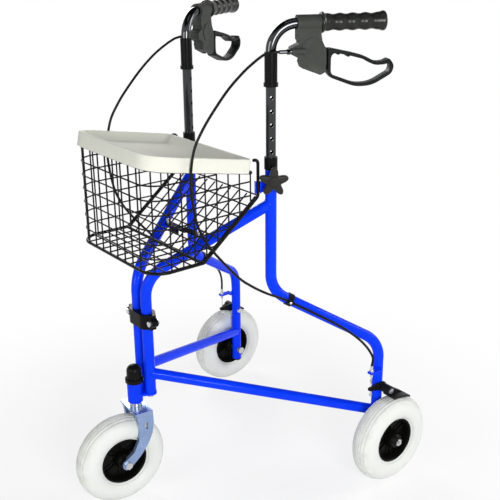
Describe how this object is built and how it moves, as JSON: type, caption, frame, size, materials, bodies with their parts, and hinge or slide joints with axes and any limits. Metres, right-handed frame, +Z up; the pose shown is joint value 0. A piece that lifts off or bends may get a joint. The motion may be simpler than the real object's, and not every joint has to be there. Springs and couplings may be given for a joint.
{
  "type": "three wheel rollator",
  "caption": "Folding three-wheel rollator with a swivelling front castor, height-adjustable handles, loop brake levers, a wire basket and a tray.",
  "frame": {"origin": "on the floor, on the centre plane, half way between the front and the rear axle", "axes": "+Z up, +Y towards the user, +X to the user's left"},
  "size_m": [0.6406, 0.6729, 0.97],
  "materials": {
    "blue_paint": "gloss",
    "chrome": "polished",
    "steel": "zinc plated",
    "black_plastic": "satin",
    "rim_black": "semi gloss",
    "grip_rubber": "matte",
    "lever_grey": "satin",
    "brake_black": "satin",
    "cable_black": "satin",
    "tyre_grey": "matte",
    "wire_black": "dipped",
    "tray_cream": "semi gloss"
  },
  "bodies": {
    "head": {"castor_housing": "blue_paint", "housing_cap": "black_plastic", "hinge_clamp": "black_plastic", "hinge_bolts": "steel", "castor_bearings": "steel"},
    "castor": {"castor_fork": "chrome", "castor_stem": "steel", "front_axle": "steel"},
    "front_wheel": {"front_tyre": "tyre_grey", "front_rim": "rim_black", "front_wheel_bushes": "steel"},
    "left_frame": {"left_front_tube": "blue_paint", "left_rear_tube": "blue_paint", "left_lower_rail": "blue_paint", "left_tube_caps": "black_plastic", "left_brackets": "blue_paint", "left_frame_bolts": "steel", "left_cable_clip": "black_plastic", "left_brake_cable": "cable_black"},
    "left_wheel": {"left_tyre": "tyre_grey", "left_rim": "rim_black", "left_wheel_bushes": "steel"},
    "left_knob": {"left_star_knob": "black_plastic"},
    "left_handle": {"left_handle_tube": "chrome", "left_stop_sleeve": "black_plastic", "left_grip": "grip_rubber", "left_lever_housing": "lever_grey", "left_lever_pin": "steel", "left_cable_adjuster": "chrome"},
    "left_lever": {"left_brake_lever": "lever_grey"},
    "left_arm": {"left_brake_arm": "brake_black"},
    "left_brace": {"left_brace_link": "brake_black"},
    "right_frame": {"right_front_tube": "blue_paint", "right_rear_tube": "blue_paint", "right_lower_rail": "blue_paint", "right_tube_caps": "black_plastic", "right_brackets": "blue_paint", "right_frame_bolts": "steel", "right_cable_clip": "black_plastic", "right_brake_cable": "cable_black"},
    "right_wheel": {"right_tyre": "tyre_grey", "right_rim": "rim_black", "right_wheel_bushes": "steel"},
    "right_knob": {"right_star_knob": "black_plastic"},
    "right_handle": {"right_handle_tube": "chrome", "right_stop_sleeve": "black_plastic", "right_grip": "grip_rubber", "right_lever_housing": "lever_grey", "right_lever_pin": "steel", "right_cable_adjuster": "chrome"},
    "right_lever": {"right_brake_lever": "lever_grey"},
    "right_arm": {"right_brake_arm": "brake_black"},
    "right_brace": {"right_brace_link": "brake_black"},
    "basket": {"basket_rim": "wire_black", "basket_front_grille": "wire_black", "basket_left_grille": "wire_black", "basket_right_grille": "wire_black", "basket_back_grille": "wire_black", "basket_base_grille": "wire_black"},
    "tray": {"tray": "tray_cream"}
  },
  "joints": [
    {"name": "castor_swivel", "type": "hinge", "parent": "head", "child": "castor", "pos_m": [0, -0.2008, 0.23], "axis": [0, 0, 1], "continuous": true},
    {"name": "front_wheel_spin", "type": "hinge", "parent": "castor", "child": "front_wheel", "pos_m": [-0.00357, -0.24164, 0.095], "axis": [0.9962, -0.0872, 0], "continuous": true},
    {"name": "fold_left", "type": "hinge", "parent": "head", "child": "left_frame", "pos_m": [0.0165, -0.1738, 0.3], "axis": [0, 0, 1], "range_deg": [0, 24], "deforming": ["left_brake_cable"]},
    {"name": "left_wheel_spin", "type": "hinge", "parent": "left_frame", "child": "left_wheel", "pos_m": [0.28629, 0.24164, 0.095], "axis": [1, 0, 0], "continuous": true},
    {"name": "left_knob_turn", "type": "hinge", "parent": "left_frame", "child": "left_knob", "pos_m": [0.15811, 0.03011, 0.668], "axis": [0.8746, -0.4848, 0], "continuous": true},
    {"name": "left_handle_slide", "type": "slide", "parent": "left_frame", "child": "left_handle", "axis": [0, 0, 1], "range_m": [-0.127, 0], "deforming": ["left_brake_cable"]},
    {"name": "left_lever_squeeze", "type": "hinge", "parent": "left_handle", "child": "left_lever", "pos_m": [0.16904, 0.10801, 0.9065], "axis": [0.8949, -0.4462, 0], "range_deg": [0, 15], "stiffness_Nm_per_rad": 1.5},
    {"name": "left_arm_pull", "type": "hinge", "parent": "left_frame", "child": "left_arm", "pos_m": [0.26088, 0.24164, 0.205], "axis": [-1, 0, 0], "range_deg": [0, 2.5]},
    {"name": "left_brace_swing", "type": "hinge", "parent": "left_frame", "child": "left_brace", "pos_m": [0.05497, -0.06707, 0.5495], "axis": [0, 0, 1], "range_deg": [0, 57.9]},
    {"name": "fold_right", "type": "hinge", "parent": "head", "child": "right_frame", "pos_m": [-0.0165, -0.1738, 0.3], "axis": [0, 0, -1], "range_deg": [0, 24], "deforming": ["right_brake_cable"]},
    {"name": "right_wheel_spin", "type": "hinge", "parent": "right_frame", "child": "right_wheel", "pos_m": [-0.28629, 0.24164, 0.095], "axis": [1, 0, 0], "continuous": true},
    {"name": "right_knob_turn", "type": "hinge", "parent": "right_frame", "child": "right_knob", "pos_m": [-0.15811, 0.03011, 0.668], "axis": [-0.8746, -0.4848, 0], "continuous": true},
    {"name": "right_handle_slide", "type": "slide", "parent": "right_frame", "child": "right_handle", "axis": [0, 0, 1], "range_m": [-0.127, 0], "deforming": ["right_brake_cable"]},
    {"name": "right_lever_squeeze", "type": "hinge", "parent": "right_handle", "child": "right_lever", "pos_m": [-0.16904, 0.10801, 0.9065], "axis": [0.8949, 0.4462, 0], "range_deg": [0, 15], "stiffness_Nm_per_rad": 1.5},
    {"name": "right_arm_pull", "type": "hinge", "parent": "right_frame", "child": "right_arm", "pos_m": [-0.26088, 0.24164, 0.205], "axis": [-1, 0, 0], "range_deg": [0, 2.5]},
    {"name": "right_brace_swing", "type": "hinge", "parent": "right_frame", "child": "right_brace", "pos_m": [-0.05497, -0.06707, 0.5495], "axis": [0, 0, -1], "range_deg": [0, 57.9]},
    {"name": "basket_lift", "type": "slide", "parent": "head", "child": "basket", "axis": [0, 0, 1], "range_m": [0, 0.5047]},
    {"name": "tray_lift", "type": "slide", "parent": "basket", "child": "tray", "axis": [0, 0, 1], "range_m": [0, 0.15]}
  ],
  "couplings": [
    {"joint": "left_arm_pull", "follows": "left_lever_squeeze", "ratio": 0.16667},
    {"joint": "left_brace_swing", "follows": "fold_left", "ratio": 2.3912},
    {"joint": "right_arm_pull", "follows": "right_lever_squeeze", "ratio": 0.16667},
    {"joint": "right_brace_swing", "follows": "fold_left", "ratio": 2.3912},
    {"joint": "fold_right", "follows": "fold_left", "ratio": 1},
    {"joint": "basket_lift", "follows": "fold_left", "m_per_rad": 1.2}
  ]
}
